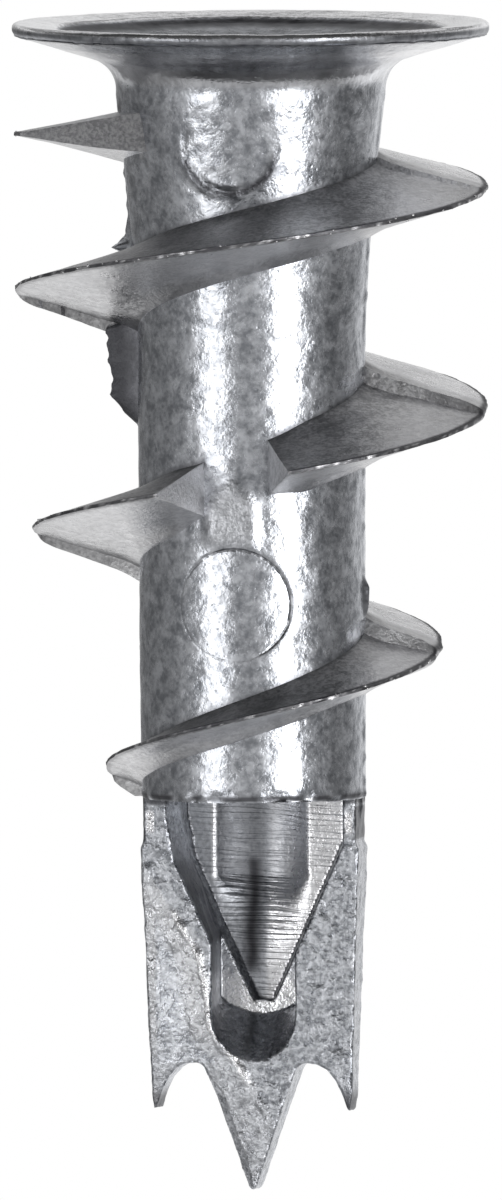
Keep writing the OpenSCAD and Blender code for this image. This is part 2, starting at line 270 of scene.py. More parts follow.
def turningGroup():
    # fine level lines that a cutter leaves in the mould, at an uneven depth
    g, (pitch, slope), out, place = newGroup("turningLines", {"Pitch": 0.16, "Slope": 0.05}, ("Height", "Tone"))
    x, y, z = (w / mm for w in splitPlace(g, place))
    rough = noise(g, joinPlace(g, (x * 0.15, y * 0.3, z)), 2.2, 2, 0.5)
    patch = noise(g, place, 1300.0, 2, 0.5)
    phase = (z + x * slope) / pitch * fullTurn + rough * 9.0
    faint = (phase * 2.3 + rough * 9.0).math("SINE") * 0.35
    lines = (phase.math("SINE") * (patch * 2.6 - 0.7).most(0.05) + faint) * 0.5
    (lines + rough * 0.25).feed(out["Height"])
    (lines * 0.35 + 0.5 + (patch - 0.5) * 0.8).clamp().feed(out["Tone"])
    return g


def pinMarkGroup():
    # the thin groove round the mark that an ejector pin leaves, on the front only
    g, given, out, place = newGroup(
        "pinMark", {"Height": 0.0, "Radius": 1.3, "Width": 0.05, "Lean Across": 0.0, "Lean Along": 1.0}, ("Groove",))
    level, radius, width, across, along = given
    x, y, z = (w / mm for w in splitPlace(g, place))
    wander = noise(g, place, 2200.0, 3, 0.6)
    away = z - level
    d = ((x * x + away * away).math("SQRT") - radius + (wander - 0.5) * 0.06) / width
    share = ((across * x + along * away) / radius * 0.6 + 0.35).most(0.15).least(1.0)
    broken = (wander * 2.4 - 0.5).most(0.1).least(1.0)
    line = (d * d * -1.0).math("EXPONENT") * share * broken * (y * -1.0).above(0.0)
    line.feed(out["Groove"])
    return g


castGrain, turningLines, pinMark = castGrainGroup(), turningGroup(), pinMarkGroup()


def placeGroup(tree, group, values):
    node = tree.nodes.new("ShaderNodeGroup")
    node.node_tree = group
    for label, value in values.items():
        setSocket(node.inputs[label], value)
    return {s.name: Wire(tree, s) for s in node.outputs}


def readMask(tree, name):
    read = tree.nodes.new("ShaderNodeAttribute")
    read.attribute_name = name
    return Wire(tree, read.outputs["Fac"])


def mixColour(tree, share, below, colour):
    mix = tree.nodes.new("ShaderNodeMix")
    mix.data_type = "RGBA"
    share.clamp().feed(mix.inputs[0])
    tree.links.new(below, mix.inputs[6])
    mix.inputs[7].default_value = (*colour, 1)
    return mix.outputs[2]


def zincFinish(name, v):
    mat = bpy.data.materials.new(name)
    mat.use_nodes = True
    t = mat.node_tree
    skin = t.nodes["Principled BSDF"]
    skin.inputs["Metallic"].default_value = 1.0
    paintedHighlight, shaded, rough = readMask(t, "paintedHighlight"), readMask(t, "shaded"), readMask(t, "roughSkin")
    grain = placeGroup(t, castGrain, dict(v["grain"], **{"Rough Skin": rough + v["grain"]["Rough Skin"]}))
    height, tone = grain["Height"] * v["grainHeight"], grain["Tone"]
    if "turned" in v:
        lines, share = placeGroup(t, turningLines, v["turned"]), readMask(t, "turned")
        height = height * (share * -0.8 + 1.0) + lines["Height"] * share * v["turnedHeight"]
        tone = tone * (share * -0.6 + 1.0) + lines["Tone"] * share * 0.6
    for mark in v.get("marks", ()):
        # each mark's groove dents the bump and is also painted in as shade, stronger on the side it leans to
        groove = placeGroup(t, pinMark, mark)["Groove"]
        height, shaded = height - groove * 0.05, shaded.most(groove * 0.95)
    colours = t.nodes.new("ShaderNodeValToRGB")
    for element, (position, colour) in zip(colours.color_ramp.elements, ((0.1, v["dark"]), (0.9, v["light"]))):
        element.position, element.color = position, (*colour, 1)
    tone.feed(colours.inputs[0])
    # painted shade and painted highlights from the masks are mixed into the colour
    inShade = mixColour(t, shaded, colours.outputs[0], v["shade"])
    t.links.new(mixColour(t, paintedHighlight, inShade, v["paintedHighlight"]), skin.inputs["Base Color"])
    (grain["Roughness"] - paintedHighlight * 0.12 + shaded * 0.15).most(0.12).feed(skin.inputs["Roughness"])
    lift = t.nodes.new("ShaderNodeBump")
    lift.inputs["Strength"].default_value, lift.inputs["Distance"].default_value = 1.0, mm
    height.feed(lift.inputs["Height"])
    t.links.new(lift.outputs[0], skin.inputs["Normal"])
    return mat


# the grain's dark and light tones, then the colours of painted shade and painted highlights
zincTones = {"dark": (0.35, 0.365, 0.395), "light": (0.79, 0.81, 0.855),
             "shade": (0.10, 0.10, 0.11), "paintedHighlight": (0.93, 0.93, 0.95)}
finishValues = {
    "bodyZinc": {
        "grainHeight": 0.024,
        "grain": {"Grain Size": 0.11, "Patch Size": 0.6, "Pits": 0.5, "Rough Skin": 0.1, "Gloss": 0.25},
        "marks": ({"Height": 3.24, "Radius": 1.28, "Width": 0.1, "Lean Across": 0.15, "Lean Along": 1.2},
                  {"Height": 15.72, "Radius": 1.52, "Width": 0.035, "Lean Across": -0.7, "Lean Along": -0.7})},
    "threadZinc": {
        "dark": (0.42, 0.42, 0.43), "light": (0.80, 0.80, 0.81), "grainHeight": 0.018,
        "grain": {"Grain Size": 0.10, "Patch Size": 0.8, "Pits": 0.4, "Rough Skin": 0.35, "Gloss": 0.22}},
    "bladeZinc": {
        "dark": (0.33, 0.345, 0.375), "grainHeight": 0.045,
        "turned": {"Pitch": 0.17, "Slope": 0.06}, "turnedHeight": 0.009,
        "grain": {"Grain Size": 0.11, "Patch Size": 0.22, "Pits": 0.25, "Rough Skin": 0.6, "Gloss": 0.2}},
    # the burrs' zinc is paler than the rest: painted highlight on the beads
    "burrHighlightZinc": {
        "dark": (0.75, 0.75, 0.76), "light": (0.95, 0.95, 0.96), "grainHeight": 0.004,
        "grain": {"Grain Size": 0.05, "Patch Size": 0.3, "Pits": 0.2, "Rough Skin": 0.1, "Gloss": 0.2}},
}
finish = {name: zincFinish(name, dict(zincTones, **v)) for name, v in finishValues.items()}
print("made", len(finish), "finishes")


# head and body: one turned shell from the bore out over the dish, rim, neck and shoulder

bodyValues = {
    "around": 256, "frontShare": 0.34, "rimT": 0.30, "flangeSlope": 17.0, "neckFillet": 0.9,
    "dish": ((3.0, 0.7), (4.4, 0.46), (5.04, 0.30), (5.36, 0.11), (6.3, 0.0)),
    "padProud": 0.03, "padHalfW": 0.85, "padFrom": 12.1, "padTo": 14.3, "padRoof": 0.75, "padAside": 0.05,
    "upperMark": (3.22, 1.27, 0.1, 1.0), "lowerMark": (15.72, 1.52, -0.7, -0.7), "markDepth": 0.04,
    "crossW": 5.8, "crossBottomW": 3.8, "crossT": 1.15, "crossDepth": 5.0, "crossSkew": 0.0013,
    "skin": ((0.020, 1.9, 2), (0.010, 0.9, 3), (0.009, 0.42, 4), (0.006, 0.2, 5)),
    # flash as (height along the anchor, how far it stands out)
    "rib": ((8.0, 0), (8.3, 0.86), (8.6, 0.88), (9.13, 0.84), (9.57, 0.77), (9.8, 0.72), (10.16, 0.8),
            (10.6, 0.45), (10.98, 0.02), (11.1, 0)),
    "lump": ((3.2, 0), (3.9, 0.05), (4.6, 0.07), (5.2, 0.05), (5.7, 0.13), (6.05, 0.42), (6.25, 0.4), (6.5, 0)),
    "spike": ((15.1, 0), (15.35, 0.12), (15.7, 0.09), (16.0, 0.06), (16.15, 0)),
}


def arc(centre, across, along, degrees):
    return [(centre[0] + across * math.cos(math.radians(a)), centre[1] + along * math.sin(math.radians(a)))
            for a in degrees]


def line(a, b, count):
    return np.array(a) + (np.array(b) - np.array(a)) * (np.arange(count) / count)[:, None]


def bodyProfile(v):
    # rings of (radius, height), the way out from each, and the height where the neck begins
    boreR, headR, fillet, rim, dish = anchor["boreR"], anchor["headR"], v["neckFillet"], v["rimT"] / 2, v["dish"]
    slope = math.radians(v["flangeSlope"])
    filletR = anchor["neckR"] + fillet
    flangeR = filletR - fillet * math.sin(slope)
    flangeZ = v["rimT"] + (headR - flangeR) * math.tan(slope)
    neckZ = flangeZ + fillet * math.cos(slope)
    heights = np.linspace(neckZ, shoulder - 0.06, 262)
    rings = np.concatenate([
        line((boreR, shoulder), (boreR, dish[0][1]), 24), line((boreR, dish[0][1]), dish[0], 5),
        *(line(a, b, 6) for a, b in zip(dish, dish[1:])), line(dish[-1], (headR - rim * 0.8, 0.0), 2),
        arc((headR - rim * 0.8, rim), rim * 0.8, rim, np.linspace(-80, 80, 7)),
        line((headR - rim * 0.5, v["rimT"] + 0.02), (flangeR, flangeZ), 14),
        arc((filletR, neckZ), -fillet, -fillet, (90 - v["flangeSlope"]) * (1 - np.arange(12) / 12)),
        np.stack([bodyRadius(heights), heights], axis=1),
        line((anchor["shoulderR"] - 0.03, shoulder), (boreR, shoulder), 6)])
    along = np.roll(rings, -1, axis=0) - np.roll(rings, 1, axis=0)
    out = np.stack([along[:, 1], -along[:, 0]], axis=1)
    return rings, out / (np.linalg.norm(out, axis=1)[:, None] + 1e-9), neckZ


def discMark(x, z, centre, radius, across, along, depth):
    # pressed in on the side that it leans to, level with the skin on the other
    d = np.hypot(x, z - centre)
    share = np.clip(0.45 + 0.55 * (across * x + along * (z - centre)) / radius, 0, 1)
    return -share * (depth * ramp(radius - d, 0, 0.06) + 0.035 * bell(d - radius, 0.05))


def bodyForms(v, at, p):
    # how far the skin stands out from the turned shape, and the shares that its looks need
    x, y, r, z = p[:, 0], p[:, 1], at.r, at.z
    push = skinLumps(p, v["skin"]) * np.where(r > anchor["boreR"] + 0.05, 1.0, 0.2)
    # the ejector pins' marks and the gate's flat pad, all on the front
    markZ, markR = v["upperMark"][:2]
    low = bell(np.hypot(x, z - markZ) - markR, 0.12) * ramp(z - markZ, -0.3, 0.7)
    marks = sum(discMark(x, z, *v[name], v["markDepth"]) for name in ("upperMark", "lowerMark"))
    push += at.front * (marks + 0.09 * low * (1 + 0.8 * lumps(p, 0.3, 8)))
    aside = np.abs(x - v["padAside"])
    roof = v["padFrom"] + v["padRoof"] * aside / v["padHalfW"]
    inPad = ramp(v["padHalfW"] - aside, -0.02, 0.4) * ramp(z - roof, -0.02, 0.5)
    inPad = at.front * inPad * ramp(v["padTo"] + 0.15 * lumps(p, 0.4, 9) - z, -0.1, 0.5)
    pad = (anchor["midR"] + v["padProud"]) / np.maximum(0.3, np.abs(np.sin(at.a))) - r
    push += inPad * np.maximum(pad, 0)
    # flash along the parting plane: a rib and a lump on one side, a spike on the other, and the seam
    ribAt = profile(z, v["rib"]) * (1 + 0.08 * lumps(p, 0.16, 11))
    rib = at.side * (x > 0) * ribAt * bell(y - 0.02, 0.2, 6)
    lump = at.side * (x > 0) * profile(z, v["lump"]) * bell(y, 0.22, 4) * (1 + 0.6 * lumps(p, 0.22, 12))
    spike = at.side * (x < 0) * profile(z, v["spike"]) * bell(y, 0.1, 4)
    seam = at.side * np.maximum(0.035 * bell(y, 0.12) * (0.8 + 1.2 * lumps(p, 0.3, 14)), 0)
    push += rib + lump + spike + seam
    # the shoulder's end edge is ragged and rounded over
    ragged = ramp(z, shoulder - 0.45, shoulder - 0.05) * (0.05 * lumps(p, 0.3, 17) + 0.02 * lumps(p, 0.14, 18))
    push += at.side * (ragged - 0.04 * ramp(z, shoulder - 0.12, shoulder))
    # burrs along the rim's edge on the side of the neck
    edge = bell(r - anchor["headR"] + 0.12, 0.1) * (at.outZ > 0.3)
    push += edge * (0.02 + 0.05 * np.maximum(lumps(p, 0.22, 21), 0))
    return push, SimpleNamespace(inPad=inPad, low=low, ribAt=ribAt, flash=rib + spike)


def strandShade(at):
    # painted shade on the skin beside each strand, on the side towards the head
    shade = np.zeros(len(at.z))
    for strand in range(4):
        turn = np.mod(at.a - firstAngle, fullTurn) / fullTurn + strand
        away = at.z - helixHeight(turn) + anchor["crestW"] / 2 + anchor["headFlank"] * (crestRadius(turn) - at.r)
        there = (turn < anchor["turns"] - 0.1) & ((turn < gapFrom) | (turn > gapTo)) & (away < 0.25)
        shade = np.maximum(shade, there * at.side * 0.75 * bell(away, 0.17))
    return shade


def paintBody(mesh, at, forms, p):
    (x, y, _), r, z, side, front = p.T, at.r, at.z, at.side, at.front
    mask(mesh, "roughSkin", forms.inPad * 1.4 + 1.5 * ramp(forms.flash, 0.02, 0.1) * side)
    # painted shade, darker: the dish's wall, the rim's side, the ragged end edge, the upper mark's crescent, the flash
    # and the skin beside the strands
    inDish = (z < 1.0) & (r > 2.0) & (at.outZ < 0)
    dishWall = 0.9 * inDish * ramp(z, 0.16, 0.22) * (1 - 0.8 * ramp(z, 0.32, 0.45))
    rimSide = 0.5 * (r > anchor["headR"] - 0.3) * band(z, 0.03, 0.09, 0.38, 0.48)
    endEdge = 0.9 * side * ramp(z, shoulder - 0.24, shoulder - 0.14) * ramp(lumps(p, 0.3, 19), -0.7, 0.0)
    crescent = front * forms.low * ramp(lumps(p, 0.25, 8), -0.7, -0.1)
    ribSkin = 0.9 * side * ramp(forms.ribAt, 0.01, 0.08) * (x > 0) * bell(y, 0.42, 8)
    spikeSkin = 0.54 * side * (x < 0) * band(z, 15.0, 15.15, 16.1, 16.25) * bell(y, 0.22, 8)
    mask(mesh, "shaded", np.maximum.reduce([strandShade(at), dishWall, rimSide, endEdge, crescent, ribSkin, spikeSkin]))
    # painted highlights and reflections, brighter: the neck's fillet, the dish's flat rim, the gate's pad, the upper
    # mark's side and the flange's underside
    neckBand = 0.5 * (y < 0) * (z < 2.2) * (z > 0.6) * ramp(at.outZ, 0.15, 0.4)
    rimFlat = 0.9 * inDish * fall(z, 0.14, 0.18)
    markSide = 0.8 * front * bell(x - 2.62, 0.05) * band(z, 2.5, 2.6, 3.6, 3.7)
    flange = 0.7 * (at.outZ > 0.5) * ramp(r, 4.4, 5.2) * ramp(np.abs(x - 0.3), 3.0, 4.2) * (z < 2.5) * (z > 0.35)
    mask(mesh, "paintedHighlight", neckBand + rimFlat + forms.inPad * 0.3 + markSide + flange)


def makeBody(v):
    rings, out, neckZ = bodyProfile(v)
    even = np.arange(v["around"]) * fullTurn / v["around"]
    a = np.tile(even + v["frontShare"] * np.cos(even), len(rings))        # closer together on the front
    r, z = np.repeat(rings, v["around"], axis=0).T
    outR, outZ = np.repeat(out, v["around"], axis=0).T
    p = np.stack([r * np.cos(a), r * np.sin(a), z], axis=1)
    side = (r > anchor["boreR"] + 0.3) & (z > neckZ - 0.01) & (outR > 0.7)
    at = SimpleNamespace(a=a, r=r, z=z, outZ=outZ, side=side, front=side & (p[:, 1] < 0))
    push, forms = bodyForms(v, at, p)
    p += np.stack([outR * np.cos(a), outR * np.sin(a), outZ], axis=1) * push[:, None]
    p[:, 2] = np.maximum(p[:, 2], 0.0)
    p[:, :2] *= np.minimum(1, (anchor["headR"] - 0.004) / np.maximum(np.hypot(p[:, 0], p[:, 1]), 1e-6))[:, None]
    base = np.arange(len(p)).reshape(-1, v["around"])
    nextRing, nextSide = np.roll(base, -1, axis=0), np.roll(base, -1, axis=1)
    faces = np.stack([base, nextSide, np.roll(nextRing, -1, axis=1), nextRing], axis=2).reshape(-1, 4)
    piece = makePiece("headAndBody", p, faces, finish["bodyZinc"])
    paintBody(piece.data, at, forms, p)
    cutCross(piece, v)
    return piece


def cutCross(piece, v):
    # the driver's cross recess, two tapered slots; the skew keeps their faces from coinciding
    faces = [[k + (i + 1) % 4, k + 4 + (i + 1) % 4, k + 4 + i, k + i] for k in (0, 4) for i in range(4)]
    faces += [[3, 2, 1, 0], [8, 9, 10, 11]]
    for a in (0, math.pi / 2):
        points = []
        for z, w in ((-0.5, v["crossW"]), (0.7, v["crossW"]), (v["crossDepth"], v["crossBottomW"])):
            for sx, sy in ((-1, -1), (1, -1), (1, 1), (-1, 1)):
                x, y = sx * w / 2, sy * (v["crossT"] / 2 + v["crossSkew"] * sx)
                points.append((x * math.cos(a) - y * math.sin(a), x * math.sin(a) + y * math.cos(a), z))
        cutter = makePiece("slot", points, faces, finish["bodyZinc"], False)
        cut = piece.modifiers.new("cut", "BOOLEAN")
        cut.operation, cut.solver, cut.object = "DIFFERENCE", "MANIFOLD", cutter
        applyModifiers(piece)
        bpy.data.objects.remove(cutter)


# thread: a sweep along the helix, in two runs with the gate's gap between them

threadValues = {
    "Lead": anchor["lead"], "Start Lead": anchor["startLead"], "From Height": anchor["threadFrom"],
    "Crest Radius": anchor["crestR"], "Root Radius": 2.3, "Full Turns": anchor["fullTurns"],
    "Crest Drop": anchor["crestDrop"], "Turns": anchor["turns"], "Run Out": 0.12,
    "Run Out Radius": anchor["shoulderR"] - 0.1, "Crest Width": anchor["crestW"],
    "Head Flank": anchor["headFlank"], "Tip Flank": anchor["tipFlank"], "Round": 84, "Finish": finish["threadZinc"],
}
threadRuns = {
    "threadUpper": {"From Turn": 0.0, "To Turn": gapFrom, "Face Offset": anchor["endFace"], "End Lean": 0.001,
                    "End Thinning": 0.25, "Rings": 560},
    "threadLower": {"From Turn": gapTo, "To Turn": anchor["turns"], "Face Offset": 0.0, "End Lean": 0.0,
                    "End Thinning": 0.0, "Rings": 440},
}
castingValues = {"frontThinning": 0.07, "fillet": 0.10, "frontFillet": 0.16, "draft": 0.03, "fillSteps": 24,
                 "grit": ((0.008, 0.5, 31), (0.006, 0.22, 32))}
sweepFields = ("turn", "side", "reach", "crestAt", "along")


def newSweep(name, numbers, counts):
    g = bpy.data.node_groups.new(name, "GeometryNodeTree")
    for kind, labels in (("Float", numbers), ("Int", counts), ("Material", ["Finish"])):
        for label in labels:
            g.interface.new_socket(label, in_out="INPUT", socket_type="NodeSocket" + kind)
    g.interface.new_socket("Geometry", in_out="OUTPUT", socket_type="NodeSocketGeometry")
    return g, {s.name: Wire(g, s) for s in g.nodes.new("NodeGroupInput").outputs if s.name}


def crestWire(v, turn):
    return v["Crest Radius"] - v["Crest Drop"] * (turn - v["Full Turns"]).most(0.0) ** anchor["dropPower"]


def helixWire(v, turn):
    whole = turn.least(1.0) * turn.least(1.0) * 0.5 + (turn - 1.0).most(0.0)
    return v["From Height"] + v["Start Lead"] * turn + (v["Lead"] - v["Start Lead"]) * whole


def putRound(g, geometry, r, angle, height):
    put = g.nodes.new("GeometryNodeSetPosition")
    g.links.new(geometry, put.inputs["Geometry"])
    place = [value * mm for value in (r * angle.math("COSINE"), r * angle.math("SINE"), height)]
    g.links.new(joinPlace(g, place), put.inputs["Position"])
    return put.outputs[0]


def endSweep(g, geometry, material):
    for kind in ("GeometryNodeRealizeInstances", "GeometryNodeSetMaterial"):
        node = g.nodes.new(kind)
        g.links.new(geometry, node.inputs[0])
        geometry = node.outputs[0]
    material.feed(node.inputs["Material"])
    g.links.new(geometry, g.nodes.new("NodeGroupOutput").inputs[0])
    return g


def threadTree():
    numbers = [name for name, value in threadValues.items() if isinstance(value, float)]
    numbers += ["From Turn", "To Turn", "Face Offset", "End Lean", "End Thinning"]
    g, v = newSweep("threadSweep", numbers, ["Rings", "Round"])
    tube = g.nodes.new("GeometryNodeMeshCylinder")
    for label, value in (("Radius", 1), ("Depth", 1), ("Vertices", v["Round"]), ("Side Segments", v["Rings"])):
        setSocket(tube.inputs[label], value)
    x, y, z = splitPlace(g, g.nodes.new("GeometryNodeInputPosition").outputs[0])
    along = (z + 0.5).clamp()
    around = y.math("ARCTAN2", x) / math.pi                  # -1 to 1 round the section, 0 at the root
    side, k = around.math("SIGN"), around.math("ABSOLUTE").least(1.0)      # k is 0 at the root and 1 at the crest
    first, last, rootR, offset = v["From Turn"], v["To Turn"], v["Root Radius"], v["Face Offset"]
    wholeCrest = crestWire(v, along * (last - first) + first)
    grow = (k * -1.0 + 1.0).most(0.0) ** 1.7 * -1.0 + 1.0
    r = rootR + (wholeCrest - rootR) * grow
    # the end face beside the head is flat, so the sweep starts at another angle for each radius
    lag = (offset / v["Crest Radius"]).math("ARCSINE") - (offset / r).least(1.0).math("ARCSINE")
    startTurn, endTurn = first + lag / fullTurn, last + v["End Lean"] * (wholeCrest - r)
    turn = startTurn + (endTurn - startTurn) * along
    left = ((v["Turns"] - turn) / v["Run Out"]).clamp()
    crest = v["Run Out Radius"] + (wholeCrest - v["Run Out Radius"]) * left
    r = rootR + (crest - rootR) * grow
    flank = v["Tip Flank"] * side.above(0.0) + v["Head Flank"] * (side * -1.0).above(0.0)
    flank = flank * (((turn - startTurn) / 0.3 * -1.0 + 1.0).most(0.0) * v["End Thinning"] * -1.0 + 1.0)
    side = side * (k.above(0.999) * -1.0 + 1.0)              # the crest's own line is on neither side
    height = helixWire(v, turn) + side * (v["Crest Width"] * 0.5 + flank * (crest - r))
    geometry = tube.outputs["Mesh"]
    for name, value in zip(sweepFields, (turn, side, r, crest, along)):
        store = g.nodes.new("GeometryNodeStoreNamedAttribute")
        store.data_type, store.domain = "FLOAT", "POINT"
        store.inputs["Name"].default_value = name
        g.links.new(geometry, store.inputs["Geometry"])
        value.feed(store.inputs["Value"])
        geometry = store.outputs[0]
    return endSweep(g, putRound(g, geometry, r, turn * fullTurn + firstAngle, height), v["Finish"])


def sweepRun(tree, name, values):
    carrier = bpy.data.objects.new(name, bpy.data.meshes.new(name))
    scene.collection.objects.link(carrier)
    run = carrier.modifiers.new("run", "NODES")
    run.node_group = tree
    for s in tree.interface.items_tree:
        if s.item_type == "SOCKET" and s.in_out == "INPUT":
            run[s.identifier] = values[s.name]
    applyModifiers(carrier)
    return carrier


def dieFill(v, t, r, crest, side):
    # what a die half can't draw is filled: each side is carried along Y to the parting plane
    a = firstAngle + fullTurn * t
    quarter = np.floor(a / (math.pi / 2))
    m = a - math.pi * np.floor(a / math.pi)
    off = np.minimum(m, math.pi - m)
    rise = np.where(side > 0, anchor["tipFlank"], anchor["headFlank"])

    def surface(turn, radius):
        return side * helixHeight(turn) + anchor["crestW"] / 2 + rise * np.maximum(crest - radius, 0)

    own = best = surface(t, r)
    stop = np.maximum(np.arccos(np.clip(r * np.cos(off) / crest, -1, 1)), off)
    for i in range(1, v["fillSteps"] + 1):
        b = off + (stop - off) * i / v["fillSteps"]
        far = np.maximum(r, r * np.cos(off) / np.maximum(0.001, np.cos(b)))
        run = np.abs(far * np.sin(b) - r * np.sin(off))
        best = np.maximum(best, surface(t + side * (b - off) / fullTurn, far) - v["draft"] * run)
    grows = np.where(np.mod(quarter, 2) == 0, 1, -1) * side > 0
    return np.where(grows & (r < crest - 0.001), best - own, 0)


def castThread(mesh, v, upper):
    p = readMesh(mesh.vertices, "co", 3) / mm
    t, side, r, crest, along = (readMesh(mesh.attributes[name].data, "value") for name in sweepFields)
    s = np.sign(side)
    tipSide, headSide = s > 0, s < 0
    fill = np.where(s == 0, 0, dieFill(v, t, r, crest, np.where(s == 0, 1, s)))
    body = bodyRadius(p[:, 2])
    inFront = np.clip(-p[:, 1] / np.maximum(r, 1), 0, 1) ** 1.5
    p[:, 2] -= tipSide * inFront * v["frontThinning"] * (crest - r)
    fillet = (v["fillet"] + v["frontFillet"] * tipSide * inFront) * np.clip(1 - (r - body) / 0.7, 0, 1) ** 2
    fillet *= ramp(np.abs(t - gapFrom), 0.0, 0.06) * ramp(np.abs(t - gapTo), 0.0, 0.06) * ramp(t, 0.08, 0.16)
    p[:, 2] += s * (fill + fillet)
    p[:, 2] = np.minimum(p[:, 2], shoulder - 0.02)
    p[:, 2] += s * skinLumps(p, v["grit"]) * ramp(r, body - 0.05, body + 0.3)
    crestBurr = ramp(r, crest - 0.35, crest) * (0.03 * np.maximum(lumps(p, 0.14, 33), 0) + 0.02 * lumps(p, 0.45, 34))
    p[:, :2] *= (1 + crestBurr / np.maximum(r, 1))[:, None]
    placePoints(mesh, p)
    x, y, _ = p.T
    atStart, atEnd = along < 1e-4, along > 1 - 1e-4
    onFlank = ~(atStart | atEnd)
    mask(mesh, "roughSkin", 0.5 * bell(y, 0.25) + 1.2 * atStart + 1.1 * headSide
         + tipSide * (0.4 * (x < 2.9) + inFront))
    # painted highlights and reflections, brighter: glints along the crest, the end face at the gate, the front
    # underside, and the flanks towards the back
    crestGlints = 0.8 * onFlank * ramp(r, crest - 0.03, crest - 0.005) * ramp(lumps(p, 0.12, 36), 0.25, 0.6)
    gateEnd = 0.7 * atStart * (not upper)
    underside = 0.55 * onFlank * tipSide * inFront * ramp(crest - r, 0.1, 0.3)
    towardsBack = 0.5 * ramp(-x / crest, 0.58, 0.8) + 0.9 * ramp(y, 0.6, 1.6)
    backFlank = headSide * onFlank * ramp(crest - r, 0.1, 0.2) * towardsBack
    mask(mesh, "paintedHighlight", crestGlints + gateEnd + underside + backFlank)
    # painted shade, darker: a line inside the crest, another along the root, the two faces of the gap, and the front's
    # middle
    crestLine = ramp(r, crest - 0.17, crest - 0.07) * (0.85 + 0.15 * lumps(p, 0.5, 35))
    crestLine *= 1 - 0.5 * ramp(crest - r, 0.0, 0.03) * tipSide
    crestLine = np.where(onFlank, crestLine, (0.52 * atStart + 0.3 * atEnd) * upper)
    out = np.maximum(r - body, 0)
    rootLine = (0.6 * headSide * bell(out, 0.5, 1) + 0.2 * tipSide * bell(out, 0.3, 1)) * ramp(t, 0.12, 0.3)
    rootLine *= 0.75 + 0.4 * lumps(p, 0.6, 37)
    middle = 0.42 * headSide * inFront * band(x, -3.2, -0.5, 3.0, 4.0) + 0.15 * tipSide * ramp(x, 2.9, 3.3)
    mask(mesh, "shaded", np.maximum.reduce([crestLine, rootLine, middle * onFlank]))
    mesh.shade_smooth()
    mesh.set_sharp_from_angle(angle=math.radians(38))
    for name in sweepFields:
        mesh.attributes.remove(mesh.attributes[name])


def makeThread(v):
    tree, runs = threadTree(), []
    for name, own in threadRuns.items():
        runs.append(sweepRun(tree, name, dict(threadValues, **own)))
        castThread(runs[-1].data, v, name == "threadUpper")
    return runs


# blade, with the pocket, the boss behind it and the spurs

bladeValues = {
    "halfT": 0.73, "topHalfW": 3.01, "endHalfW": 2.79, "stepH": 1.2, "spur": 29.6, "notch": 28.3, "spurRootHalfW": 1.23,
    "corner": 0.3, "pointR": 0.14, "tipW": 0.12, "pocketHalfW": 2.44, "channelHalfW": 1.15, "narrowFrom": 22.35,
    "channelFrom": 25.2, "pocketTip": 26.62, "channelEnd": 28.22, "ledgeY": 0.7, "floorY": 1.1, "ledgeDraft": 8.0,
    "floorDraft": 10.0, "endSlope": 40.0, "bossWall": 0.4, "bossEnd": 28.2, "reliefAngle": 8.0, "coneAngle": 20.0,
    "pocketAside": 0.14, "step": 0.06, "skin": ((0.034, 0.45, 51), (0.034, 0.24, 52), (0.018, 0.13, 53)),
}
# where the front face's relief facet begins, as (height, place across)
ridge = ((22.0, 3.4), (24.24, 2.11), (25.43, 1.40), (26.77, 1.16), (27.36, 1.107), (28.07, 0.50), (28.97, -0.02),
         (31.0, -1.2))


def smoothLeast(a, b, k):
    h = np.clip(0.5 + 0.5 * (b - a) / k, 0, 1)
    return b + (a - b) * h - k * h * (1 - h)


def smoothMost(a, b, k):
    return -smoothLeast(-a, -b, k)


def lineDistance(x, z, points):
    best = np.full(x.shape, 1e9)
    for (ax, az), (bx, bz) in zip(points, points[1:]):
        ex, ez = bx - ax, bz - az
        k = np.clip(((x - ax) * ex + (z - az) * ez) / (ex * ex + ez * ez), 0, 1)
        best = np.minimum(best, np.hypot(x - ax - k * ex, z - az - k * ez))
    return best


def distanceTable(outline, x0=-4, z0=19.5, step=0.03):
    # signed distances to a closed outline on a regular grid, negative inside
    x, z = np.meshgrid(np.arange(x0, 4 + step, step), np.arange(z0, 32.6, step), indexing="ij")
    closed = outline + outline[:1]
    inside = np.zeros(x.shape, dtype=bool)
    for (ax, az), (bx, bz) in zip(closed, closed[1:]):
        if az != bz:
            inside ^= ((az > z) != (bz > z)) & (x < ax + (z - az) * (bx - ax) / (bz - az))
    return np.where(inside, -1, 1) * lineDistance(x, z, closed), x0, z0, step


def lookUp(table, x, z):
    values, x0, z0, step = table
    i = np.clip((x - x0) / step, 0, values.shape[0] - 1.001)
    k = np.clip((z - z0) / step, 0, values.shape[1] - 1.001)
    a, b = i.astype(int), k.astype(int)
    fx, fz = i - a, k - b
    low = values[a, b] * (1 - fx) + values[a + 1, b] * fx
    return low * (1 - fz) + (values[a, b + 1] * (1 - fx) + values[a + 1, b + 1] * fx) * fz


def bladeOutline(v):
    tipX, notchX, shoulderX = v["endHalfW"] - v["tipW"], v["spurRootHalfW"] + v["corner"], anchor["shoulderR"] - 0.1
    pointZ = drillPoint - v["pointR"]
    slope = math.degrees(math.atan((v["spurRootHalfW"] - v["pointR"]) / (pointZ - v["notch"])))
    half = [(shoulderX, 19.9), (shoulderX, shoulder + v["stepH"]), (v["topHalfW"], shoulder + v["stepH"] + 0.15),
            (v["endHalfW"], v["spur"] - 0.4), (v["endHalfW"] - v["tipW"] / 2, v["spur"])]
    half += [(notchX + (tipX - notchX) * k, v["notch"] + (v["spur"] - 0.05 - v["notch"]) * k ** 3)
             for k in (1, 0.92, 0.83, 0.7, 0.5, 0.25)]
    half += arc((notchX, v["notch"] + v["corner"]), -v["corner"], -v["corner"],
                [90 - (90 - slope) * i / 3 for i in range(4)])
    half += arc((0, pointZ), v["pointR"], v["pointR"], [slope + (90 - slope) * i / 4 for i in range(5)])
    return half + [(-x, z) for x, z in half[-2::-1]]


